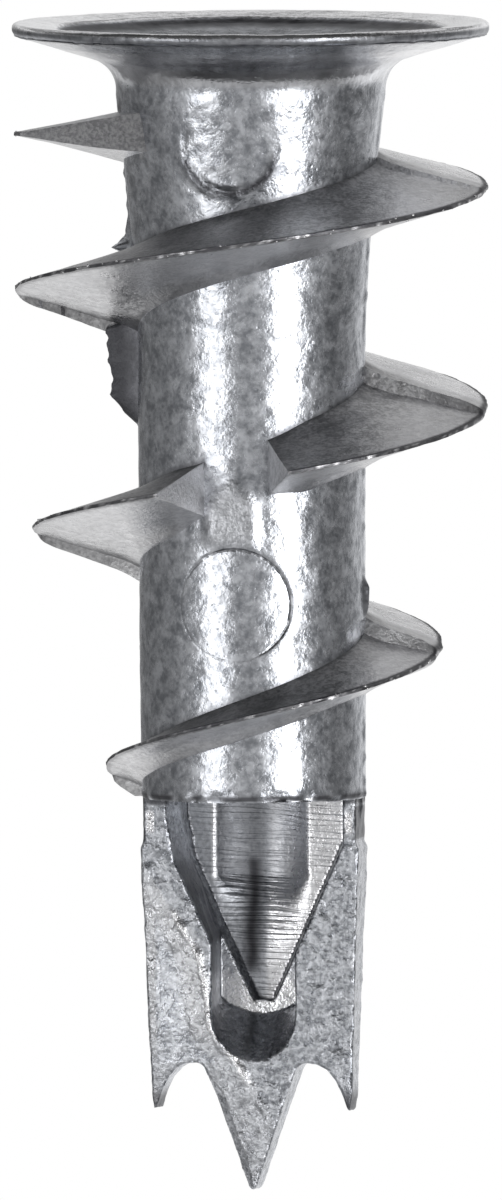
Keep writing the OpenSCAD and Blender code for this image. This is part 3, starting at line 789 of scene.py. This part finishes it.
def bladeField(v):
    # signed distance to the blade's skin, negative inside
    face, ledgeY, floorY, pocketTip = -v["halfT"], v["ledgeY"], v["floorY"], v["pocketTip"]
    halfW, channelW, narrowFrom = v["pocketHalfW"], v["channelHalfW"], v["narrowFrom"]
    angles = ("reliefAngle", "ledgeDraft", "floorDraft", "endSlope", "coneAngle")
    tilt, ledgeLean, floorLean, endLean, coneLean = (math.tan(math.radians(v[name])) for name in angles)
    narrow = (halfW - channelW) / (v["channelFrom"] - narrowFrom)
    ledgeIn = (ledgeY - face) * ledgeLean
    blade = distanceTable(bladeOutline(v))
    wedge = distanceTable([
        (-halfW, 18.0), (halfW, 18.0), (halfW, narrowFrom - 0.7), (halfW - 0.13, narrowFrom - 0.1),
        (halfW - 0.2, narrowFrom + 0.2 / narrow), (0, narrowFrom + halfW / narrow), (-halfW, narrowFrom)])
    roundEnd = arc((0, v["channelEnd"] - channelW), channelW, channelW, [180 * i / 16 for i in range(17)])
    channel = distanceTable([(-channelW, 24.2), (channelW, 24.2)] + roundEnd)
    bossTop, bossLow = anchor["shoulderR"] - 0.06, floorY + v["bossWall"]
    bossMid = math.hypot(halfW - ledgeIn - 0.18, floorY) + 0.7 * v["bossWall"]
    bossRings = ((20.0, bossTop), (shoulder + 0.3, bossTop), (narrowFrom + 0.2, bossMid), (pocketTip, bossLow),
                 (v["bossEnd"], 0.6 * bossLow), (v["bossEnd"] + 0.3, 0.0))
    boreRings = ((0, anchor["boreR"]), (anchor["boreTo"], anchor["boreR"]),
                 (anchor["boreTo"] + anchor["boreR"] / coneLean, 0.0))

    def field(p):
        x, y, z = p.T
        # front and back faces, each with its relief facet
        inOutline = lookUp(blade, x, z)
        relief = tilt * ramp(z, 22.0, 24.5)
        front = y + v["halfT"] - relief * np.clip(x - profile(z, ridge), 0, 4)
        back = y - v["halfT"] + relief * np.clip(-x - profile(z, ridge), 0, 4)
        solid = smoothMost(inOutline, np.maximum(-front, back), 0.06)
        # a bevel on the centre spur's edge, and ragged edges elsewhere
        bevel = 0.24 * ramp(z, 28.5, 29.2) * ramp(x, -0.1, 0.1) * (x < 1.6)
        bevel = np.maximum(bevel, 0.03 + 0.06 * lumps(p * [1, 0, 1], 0.3, 44))
        solid = np.maximum(solid, (inOutline - front + bevel) * 0.707)
        radial = np.hypot(x, y)
        boss = np.maximum.reduce([radial - profile(z, bossRings), z - v["bossEnd"], -y])
        solid = np.maximum(smoothLeast(solid, boss, 0.12), 20.3 - z)
        # pocket: mouth to ledge, ledge to floor, the channel to the point, and the bore's pointed end
        mouth = lookUp(wedge, x + v["pocketAside"], z)
        shallow = np.maximum.reduce([mouth + (y - face) * ledgeLean, y - ledgeY, z - pocketTip])
        scratch = 0.006 * lumps(p * [0.25, 0, 1], 0.16, 41)
        deep = np.maximum.reduce([mouth + ledgeIn + (y - ledgeY) * floorLean, y - floorY + scratch, z - pocketTip,
                                  ledgeY - 0.05 - y])
        endZ = z + (y - face) * endLean * ramp(z, 26.0, 27.0)
        groove = np.maximum(lookUp(channel, x + 0.6 * v["pocketAside"], endZ), y - ledgeY)
        bore = np.maximum(radial - profile(z, boreRings) + scratch * ramp(z, 21.4, 22.2), z - 27.2)
        deepest = smoothLeast(deep, bore, 0.05 + 0.35 * ramp(z, 23.0, 24.4))
        return smoothMost(solid, -np.minimum.reduce([shallow, deepest, groove]), 0.08)
    return field


def netSurface(field, low, high, step):
    # a mesh over the field's zero surface, one point in each cell that it crosses
    axes = [np.arange(low[i], high[i] + step, step) for i in range(3)]
    grid = np.stack(np.meshgrid(*axes, indexing="ij"), axis=-1)
    shape = grid.shape[:3]
    flat = grid.reshape(-1, 3)
    f = np.concatenate([field(flat[i:i + 400000]) for i in range(0, len(flat), 400000)]).reshape(shape)
    cells = tuple(n - 1 for n in shape)
    corners = [(i, j, k) for i in (0, 1) for j in (0, 1) for k in (0, 1)]
    total = sum((f < 0)[tuple(slice(o[i], o[i] + cells[i]) for i in range(3))].astype(np.int8) for o in corners)
    mixed = np.argwhere((total > 0) & (total < 8))
    number = np.full(cells, -1, dtype=np.int64)
    number[tuple(mixed.T)] = np.arange(len(mixed))
    place, count = np.zeros((len(mixed), 3)), np.zeros(len(mixed))
    for o, axis in ((o, axis) for o in corners for axis in range(3) if not o[axis]):
        e = tuple(o[i] + (i == axis) for i in range(3))
        fa, fb = f[tuple((mixed + o).T)], f[tuple((mixed + e).T)]
        crosses = (fa < 0) != (fb < 0)
        at = np.array(o, float)[None, :].repeat(len(mixed), 0)
        at[:, axis] += np.where(crosses, fa / np.where(crosses, fa - fb, 1), 0)
        place += at * crosses[:, None]
        count += crosses
    faces = []
    for axis in range(3):
        lowF, highF = (f[tuple(slice(end, n - 1 + end) if i == axis else slice(1, n - 1) for i, n in enumerate(shape))]
                       for end in (0, 1))
        edges = np.argwhere((lowF < 0) != (highF < 0))
        outward = lowF[tuple(edges.T)] < 0
        edges = edges + [0 if i == axis else 1 for i in range(3)]
        stepA, stepB = np.eye(3, dtype=int)[[(axis + 1) % 3, (axis + 2) % 3]]
        shifts = (stepA + stepB, stepB, 0 * stepA, stepA)
        quad = np.stack([number[tuple((edges - shift).T)] for shift in shifts], axis=1)
        quad[~outward] = quad[~outward][:, ::-1]
        faces.append(quad)
    return (mixed + place / count[:, None]) * step + np.array(low), np.concatenate(faces)


def pullOn(field, p, longest, small=0.01):
    # moves points on to the field's zero surface
    d = field(p)
    slope = np.stack([(field(p + small * way) - d) / small for way in np.eye(3)], axis=1)
    move = -d[:, None] * slope / np.maximum((slope ** 2).sum(axis=1), 0.3)[:, None]
    return p + move * np.minimum(1, longest / np.maximum(np.linalg.norm(move, axis=1), 1e-9))[:, None]


def paintBlade(mesh, v, p, normals, inPocket, flat, onRidge):
    (x, y, z), (nx, ny, nz) = p.T, normals.T
    wide, ledgeY, front = np.abs(x), v["ledgeY"], flat * (ny < 0)
    floor = inPocket * (y > ledgeY + 0.06)
    mask(mesh, "roughSkin", 0.5 * flat + 1.3 * floor)
    mask(mesh, "turned", inPocket * ramp(-ny, 0.55, 0.8) * ramp(y, ledgeY + 0.1, ledgeY + 0.25))
    # painted shade, darker: the floor's keel and groove, the lip over the floor, one wall, the line under the shoulder,
    # the channel's middle, the spurs' tips and the top corners
    keel = floor * bell(x - 0.26 + 0.05 * lumps(p, 0.5, 57), 0.23) * band(z, 22.5, 23.0, 25.6, 26.2)
    groove = floor * (wide < 1.25) * (0.2 * ramp(x, -0.6, -0.2) + 0.3 * ramp(x, -0.2, 0.3)) * fall(z, 23.2, 23.8)
    toWall = v["pocketHalfW"] - 0.45 * np.maximum(z - v["narrowFrom"], 0) - np.abs(x + v["pocketAside"])
    lip = (0.8 - 0.35 * (x > 0.3)) * inPocket * ramp(y, 0.45, 0.6) * (y < 1.12) * (toWall < 0.62)
    lip *= (z < v["pocketTip"] + 0.1) * fall(-ny, 0.93, 0.99)
    wall = 0.75 * inPocket * ramp(-nx, 0.6, 0.9) * (x > 0) * (y < ledgeY + 0.1) * ramp(z, 21.4, 23.4)
    under = 0.85 * fall(z + 0.06 * lumps(p, 0.3, 58), shoulder + 0.1, shoulder + 0.2) * (z > shoulder - 0.2)
    middle = 0.6 * inPocket * bell(x - 0.15, 0.12) * band(z, 26.3, 26.5, 28.0, 28.2)
    tips = 0.8 * ramp(z, 28.9, 29.3) * (wide > 2.2)
    corners = 0.75 * ramp(wide, 2.84, 2.9) * (z > 21.3) * fall(z, 22.15, 22.25) * (np.abs(y) < 0.8)
    mask(mesh, "shaded", np.maximum.reduce([keel, groove, lip, wall, under, middle, tips, corners]))
    # painted highlights and reflections, brighter: the ridge and the relief beside it, glints at the top corners, the
    # groove's edges, the floor's other half, the ledge and the channel's end
    bright = bell(onRidge, 0.12) * ramp(lumps(p, 0.3, 56), -1.2, -0.3) * (1 - 0.8 * ramp(z, 28.4, 29.2))
    relief = 0.5 * (x > profile(z, ridge)) * ramp(z, 22.8, 23.8) * (1 - 0.6 * ramp(z, 27.0, 28.4))
    cornerGlints = ramp(0.12 - np.abs(wide - 2.74), 0, 0.05) * band(z, 21.4, 21.5, 21.95, 22.1) * (y < -0.4)
    edges = 0.6 * inPocket * (y > 0.9) * ramp(0.10 - np.abs(wide - 1.3), 0, 0.05) * fall(z, 23.3, 23.5)
    pale = floor * fall(x, -0.25, -0.05) * np.maximum(0.3 + 0.6 * ramp(z, 23.3, 23.8), 1.1 * ramp(-x, 0.4, 0.9))
    ledge = 0.8 * inPocket * (np.abs(y - ledgeY) < 0.05) * ramp(-ny, 0.9, 0.98) * ramp(z, 25.6, 26.3)
    endWall = 0.45 * inPocket * (z > 26.9) * ramp(-nz, 0.3, 0.6) * (1 - bell(x, 0.3))
    mask(mesh, "paintedHighlight", np.maximum.reduce([front * bright, front * relief, cornerGlints, edges, pale, ledge, endWall]))


def makeBlade(v):
    field = bladeField(v)
    p, faces = netSurface(field, (-3.25, -0.93, 20.15), (3.25, 3.2, 31.95), v["step"])
    for _ in range(3):
        p = pullOn(field, p, v["step"] * 0.6)
    piece = makePiece("drillBlade", p, faces, finish["bladeZinc"])
    normals = readMesh(piece.data.vertex_normals, "vector", 3)
    (x, y, z), ny = p.T, normals[:, 1]
    outward = (normals[:, :2] * p[:, :2]).sum(axis=1) > 0.1 * np.hypot(x, y)      # on the boss and the back
    inPocket = ramp(y, -0.68, -0.6) * (np.abs(x) < 2.6) * (z < 28.3) * (y < 1.8)
    inPocket = inPocket * ~((y > 0) & (outward | (ny > 0.3)))
    flat = ramp(np.abs(ny), 0.8, 0.95) * (1 - inPocket)
    onRidge = lineDistance(z, x, ridge[1:]) + 0.04 * lumps(p, 0.3, 54)
    push = skinLumps(p, v["skin"]) * (0.35 + 0.65 * flat)
    ridgeHeight = (0.07 - 0.05 * ramp(z, 27.8, 28.6)) * bell(onRidge, 0.07) * (1 + 0.5 * lumps(p, 0.25, 55))
    push += flat * (ny < 0) * ridgeHeight
    p = p + normals * np.where(inPocket > 0.5, push * 0.15, push)[:, None]
    p[:, 2] = np.minimum(p[:, 2], drillPoint)
    placePoints(piece.data, p)
    paintBlade(piece.data, v, p, normals, inPocket, flat, onRidge)
    return piece


# burrs: beads of flash along the crests and the rim, set out by Geometry Nodes

burrValues = {
    "burrsCrestUpper": {"Count": 170, "Seed": 3, "From Turn": 0.02, "To Turn": 1.25, "Bead": 0.034},
    "burrsCrestLower": {"Count": 110, "Seed": 8, "From Turn": 1.95, "To Turn": 2.75, "Bead": 0.036},
    "burrsRim": {"Count": 130, "Seed": 5, "From Turn": 0.12, "To Turn": 0.40, "Bead": 0.042,
                 "From Height": bodyValues["rimT"] - 0.03, "Start Lead": 0.0, "Lead": 0.0,
                 "Crest Radius": anchor["headR"] - 0.03, "Crest Drop": 0.0},
}
beadValues = {"shape": (1.0, 1.25, 0.9), "sunk": (0.2, 1.0), "astray": 0.06, "least": 0.3, "spread": 0.9, "power": 1.6}


def burrTree(shape):
    g, v = newSweep("burrBeads", ["From Turn", "To Turn", "From Height", "Start Lead", "Lead", "Crest Radius",
                                  "Crest Drop", "Full Turns", "Bead"], ["Count", "Seed"])

    def chance(low, high, step):
        pick = g.nodes.new("FunctionNodeRandomValue")
        pick.data_type = "FLOAT"
        for socket, value in ((pick.inputs[2], low), (pick.inputs[3], high), (pick.inputs["Seed"], v["Seed"] + step)):
            setSocket(socket, value)
        return Wire(g, pick.outputs[1])

    turn = chance(v["From Turn"], v["To Turn"], 0.0)
    r = crestWire(v, turn) - v["Bead"] * chance(*shape["sunk"], 40.0)
    height = helixWire(v, turn) + chance(-shape["astray"], shape["astray"], 80.0)
    bead = v["Bead"] * (chance(0.0, 1.0, 120.0) ** shape["power"] * shape["spread"] + shape["least"])
    angle = turn * fullTurn + firstAngle
    dots, ball, spread = newNodes(g, "GeometryNode", "Points", "MeshIcoSphere", "InstanceOnPoints")
    v["Count"].feed(dots.inputs["Count"])
    ball.inputs["Radius"].default_value, ball.inputs["Subdivisions"].default_value = mm, 2
    for label, source in (("Points", putRound(g, dots.outputs[0], r, angle, height)), ("Instance", ball.outputs[0]),
                          ("Rotation", joinPlace(g, (0.0, 0.0, angle))),
                          ("Scale", joinPlace(g, [bead * share for share in shape["shape"]]))):
        g.links.new(source, spread.inputs[label])
    return endSweep(g, spread.outputs[0], v["Finish"])


def makeBurrs():
    tree = burrTree(beadValues)
    helix = dict(threadValues, Finish=finish["burrHighlightZinc"])
    made = [sweepRun(tree, name, dict(helix, **v)) for name, v in burrValues.items()]
    for piece in made:
        piece.data.shade_smooth()
    return made


body = makeBody(bodyValues)
threads = makeThread(castingValues)
blade = makeBlade(bladeValues)
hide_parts("anchor")
for piece in (body, *threads, blade, *makeBurrs()):
    settle(piece)


# studio: camera, lights, white room and floor

# lengths in millimetres, as seen from the camera: what it looks at is this far across and up, and its view this tall
view = {"azimuth": -10.0, "elevation": -3.0, "lean": 0.26, "across": 0.02174, "up": 15.70652, "height": 32.6087,
        "reach": 1200.0}
lampValues = {
    # degrees, then metres and watts
    "boxLeft": {"azimuth": 30, "elevation": 0, "reach": 0.35, "size": (0.12, 0.16), "power": 0.16},
    "boxRight": {"azimuth": -46, "elevation": 0, "reach": 0.35, "size": (0.14, 0.2), "power": 0.42},
}
roomValues = {
    # what the metal sees round the horizon: (degrees from the front, brightness)
    "horizon": ((-180, 0.95), (-158, 0.85), (-140, 0.4), (-118, 0.2), (-98, 0.16), (-80, 0.3), (-62, 0.42), (-22, 0.5),
                (-6, 0.42), (5, 0.42), (16, 0.46), (48, 0.45), (64, 0.34), (80, 0.24), (105, 0.2), (145, 0.18),
                (160, 0.4), (172, 0.9), (180, 0.95)),
    # how that fades with height: (degrees above the horizon, share)
    "height": ((-90, 0.15), (-45, 0.15), (-28, 0.15), (-21, 0.25), (-14, 0.85), (-8, 0.95), (0, 1.0), (12, 1.0),
               (30, 1.0), (60, 1.05), (90, 1.05)),
    # and the backdrop's glow, below and above: (degrees above the horizon, brightness)
    "backdrop": ((-90, 0.1), (-62, 0.15), (-48, 0.55), (-38, 0.8), (-30, 0.3), (-25, 0.14), (-20, 0.3), (-14, 0.95),
                 (-7, 0.0), (7, 0.0), (23, 1.0), (60, 0.9), (90, 0.5)),
}
floorValues = {"width": 3.0, "level": -0.02, "tone": 0.8, "glow": 0.62}


def wayTo(azimuth, elevation):
    a, e = math.radians(azimuth), math.radians(elevation)
    return Vector((math.sin(a) * math.cos(e), -math.cos(a) * math.cos(e), math.sin(e)))


def aimCamera(v):
    a, lean = math.radians(v["azimuth"]), math.radians(v["lean"])
    back = wayTo(v["azimuth"], v["elevation"])
    right = Vector((-math.cos(a), -math.sin(a), 0))          # turned over, so +X is on the left
    up = back.cross(right)
    right, up = right * math.cos(lean) - up * math.sin(lean), up * math.cos(lean) + right * math.sin(lean)
    cam = bpy.data.objects.new("camera", bpy.data.cameras.new("camera"))
    scene.collection.objects.link(cam)
    cam.data.type, cam.data.ortho_scale = "ORTHO", v["height"] * mm      # as from far away
    middle = (right * v["across"] - up * v["up"] + back * v["reach"]) * mm
    cam.matrix_world = Matrix.Translation(middle) @ Matrix((right, up, back)).transposed().to_4x4()
    cam.data.clip_start, cam.data.clip_end = 0.01, 20
    scene.camera = cam


def softbox(name, v):
    lamp = bpy.data.lights.new(name, "AREA")
    lamp.shape, lamp.energy = "RECTANGLE", v["power"]
    lamp.size, lamp.size_y = v["size"]
    box = bpy.data.objects.new(name, lamp)
    scene.collection.objects.link(box)
    box.visible_camera = False
    away = wayTo(v["azimuth"], v["elevation"])
    middle = away * v["reach"] + Vector((0, 0, 0.016))       # level with the anchor's middle
    box.matrix_world = Matrix.Translation(middle) @ away.to_track_quat("Z", "Y").to_matrix().to_4x4()


def levelRamp(tree, share, stops, span):
    node = tree.nodes.new("ShaderNodeValToRGB")
    elements = node.color_ramp.elements
    while len(elements) < len(stops):
        elements.new(0.5)
    for element, (degrees, level) in zip(elements, stops):
        element.position, element.color = degrees / span + 0.5, (level, level, level, 1)
    share.feed(node.inputs[0])
    return Wire(tree, node.outputs[0])


def whiteRoom(v):
    scene.world = bpy.data.worlds.new("room")
    scene.world.use_nodes = True
    t = scene.world.node_tree
    t.nodes.clear()
    out, seen, white, place, path, mix = newNodes(
        t, "ShaderNode", "OutputWorld", "Background", "Background", "TexCoord", "LightPath", "MixShader")
    x, y, z = splitPlace(t, place.outputs["Generated"])
    turn = x.math("ARCTAN2", y * -1.0) / fullTurn + 0.5
    rise = z.most(-1.0).least(1.0).math("ARCSINE") / math.pi + 0.5
    level = levelRamp(t, turn, v["horizon"], 360) * levelRamp(t, rise, v["height"], 180)
    level.most(levelRamp(t, rise, v["backdrop"], 180) * (y * 1.6).clamp()).feed(seen.inputs["Strength"])
    seen.inputs["Color"].default_value = white.inputs["Color"].default_value = (1, 1, 1, 1)
    for source, target in zip((path.outputs["Is Camera Ray"], seen.outputs[0], white.outputs[0]), mix.inputs):
        t.links.new(source, target)
    t.links.new(mix.outputs[0], out.inputs[0])


def paleFloor(v):
    # seen from above it is pale and keeps the anchor's shadow; from below it isn't there
    mat = bpy.data.materials.new("paleFloor")
    mat.use_nodes = True
    t = mat.node_tree
    t.nodes.clear()
    out, matt, glow, clear, path, side, add, mix = newNodes(
        t, "ShaderNode", "OutputMaterial", "BsdfDiffuse", "Emission", "BsdfTransparent", "LightPath", "NewGeometry",
        "AddShader", "MixShader")
    matt.inputs["Color"].default_value = (v["tone"], v["tone"], v["tone"], 1)
    (Wire(t, path.outputs["Is Camera Ray"]) * v["glow"]).feed(glow.inputs["Strength"])
    for source, target in ((matt.outputs[0], add.inputs[0]), (glow.outputs[0], add.inputs[1]),
                           (side.outputs["Backfacing"], mix.inputs[0]), (add.outputs[0], mix.inputs[1]),
                           (clear.outputs[0], mix.inputs[2]), (mix.outputs[0], out.inputs[0])):
        t.links.new(source, target)
    r = v["width"] / 2 / mm
    corners = [(x, y, v["level"]) for x, y in ((-r, -r), (r, -r), (r, r), (-r, r))]
    floor = makePiece("floor", corners, [(0, 1, 2, 3)], mat, False)
    floor.visible_glossy = False          # the anchor mirrors the room instead


aimCamera(view)
paleFloor(floorValues)
whiteRoom(roomValues)
for name, v in lampValues.items():
    softbox(name, v)
print("made the studio: camera, floor, room and", len(lampValues), "softboxes")
